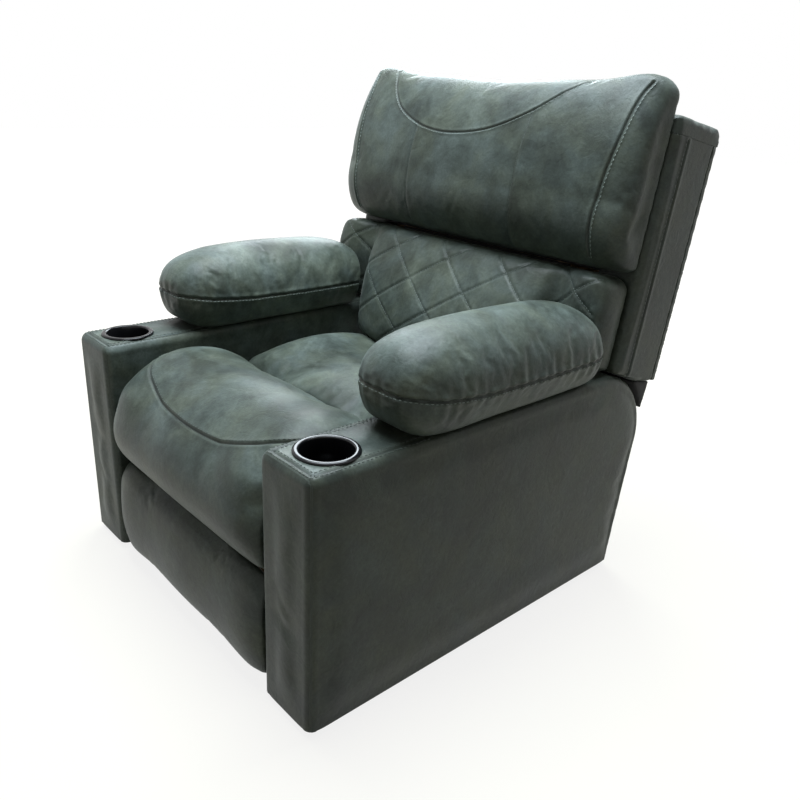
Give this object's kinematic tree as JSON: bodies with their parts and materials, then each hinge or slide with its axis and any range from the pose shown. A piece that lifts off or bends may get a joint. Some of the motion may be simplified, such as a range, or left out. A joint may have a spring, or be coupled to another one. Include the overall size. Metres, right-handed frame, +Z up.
{
  "type": "recliner chair",
  "caption": "Upholstered recliner armchair with pillow arms, cup holders, quilted lumbar cushion, reclining back and a lever-driven swing-out footrest.",
  "frame": {"origin": "floor under the middle of the chair's bounding box", "axes": "+Z up, the chair faces -Y, +X to the sitter's left"},
  "size_m": [0.9152, 1.0252, 1.0543],
  "materials": {
    "upholstery": "dark green mottled leather-look cloth over foam",
    "black_cloth": "thin black backing cloth",
    "webbing": "woven elastic webbing",
    "timber": "plain plywood and softwood",
    "black_steel": "black painted steel",
    "bright_steel": "zinc plated steel",
    "cup_plastic": "glossy black",
    "black_plastic": "satin black"
  },
  "bodies": {
    "base": {"arm_cover_left": "upholstery", "arm_cover_right": "upholstery", "arm_inner_panel_left": "timber", "arm_inner_panel_right": "timber", "arm_outer_panel_left": "timber", "arm_outer_panel_right": "timber", "arm_top_board_left": "timber", "arm_top_board_right": "timber", "arm_front_post_left": "timber", "arm_front_post_right": "timber", "arm_rear_post_left": "timber", "arm_rear_post_right": "timber", "arm_pad_left": "upholstery", "arm_pad_right": "upholstery", "cup_holder_left": "cup_plastic", "cup_holder_right": "cup_plastic", "mechanism_plate_left": "black_steel", "mechanism_plate_right": "black_steel", "seat_rail_left": "timber", "seat_rail_right": "timber", "floor_glides": "black_plastic", "base_tubes": "black_steel", "frame_bolts": "bright_steel", "mechanism_legs": "black_steel", "seat_cross_rails": "timber", "seat_springs": "bright_steel", "seat_cushion": "upholstery", "recline_bolts_and_nuts": "bright_steel", "friction_washers": "black_plastic", "lever_bezel": "black_plastic"},
    "back": {"back_post_left": "timber", "back_post_right": "timber", "back_bracket_left": "black_steel", "back_bracket_right": "black_steel", "back_wing_left": "upholstery", "back_wing_right": "upholstery", "back_rail_top": "timber", "back_rail_middle": "timber", "back_rail_bottom": "timber", "back_straps": "webbing", "back_outer_panel": "upholstery", "back_top_roll": "upholstery", "wing_underwraps": "black_cloth", "back_dust_cover": "black_cloth", "lumbar_cushion": "upholstery", "headrest_cushion": "upholstery"},
    "drive": {"drive_tube": "black_steel", "drive_rivets": "bright_steel", "drive_link_left": "black_steel", "drive_link_right": "black_steel"},
    "ottoman_arm": {"ottoman_link_left": "black_steel", "ottoman_link_right": "black_steel"},
    "footrest": {"footrest_board": "timber", "footrest_pad": "upholstery", "footrest_rivets": "bright_steel", "footrest_bracket_left": "black_steel", "footrest_bracket_right": "black_steel"},
    "lever": {"release_lever": "black_plastic", "lever_shaft": "black_steel"},
    "rod": {"drive_rod": "black_steel"}
  },
  "joints": [
    {"name": "back_recline", "type": "hinge", "parent": "base", "child": "back", "pos_m": [0, 0.23469, 0.323], "axis": [-1, 0, 0], "range_deg": [0, 40]},
    {"name": "footrest_drive", "type": "hinge", "parent": "base", "child": "drive", "pos_m": [0, -0.38031, 0.21], "axis": [-1, 0, 0], "range_deg": [0, 90]},
    {"name": "ottoman_swing", "type": "hinge", "parent": "drive", "child": "ottoman_arm", "pos_m": [0, -0.38031, 0.045], "axis": [-1, 0, 0], "range_deg": [-132.1, 0.1]},
    {"name": "footrest_turn", "type": "hinge", "parent": "ottoman_arm", "child": "footrest", "pos_m": [0, -0.40331, 0.208], "axis": [-1, 0, 0], "range_deg": [-0.1, 132.1]},
    {"name": "lever_turn", "type": "hinge", "parent": "base", "child": "lever", "pos_m": [0, -0.23031, 0.27], "axis": [-1, 0, 0], "range_deg": [-0.1, 90.1]},
    {"name": "rod_turn", "type": "hinge", "parent": "lever", "child": "rod", "pos_m": [0, -0.27031, 0.27], "axis": [-1, 0, 0], "range_deg": [-90.1, 0.1]}
  ],
  "couplings": [
    {"joint": "ottoman_swing", "follows": "footrest_drive", "ratio": -1.4667},
    {"joint": "footrest_turn", "follows": "footrest_drive", "ratio": 1.4667},
    {"joint": "lever_turn", "follows": "footrest_drive", "ratio": 1},
    {"joint": "rod_turn", "follows": "footrest_drive", "ratio": -1}
  ]
}
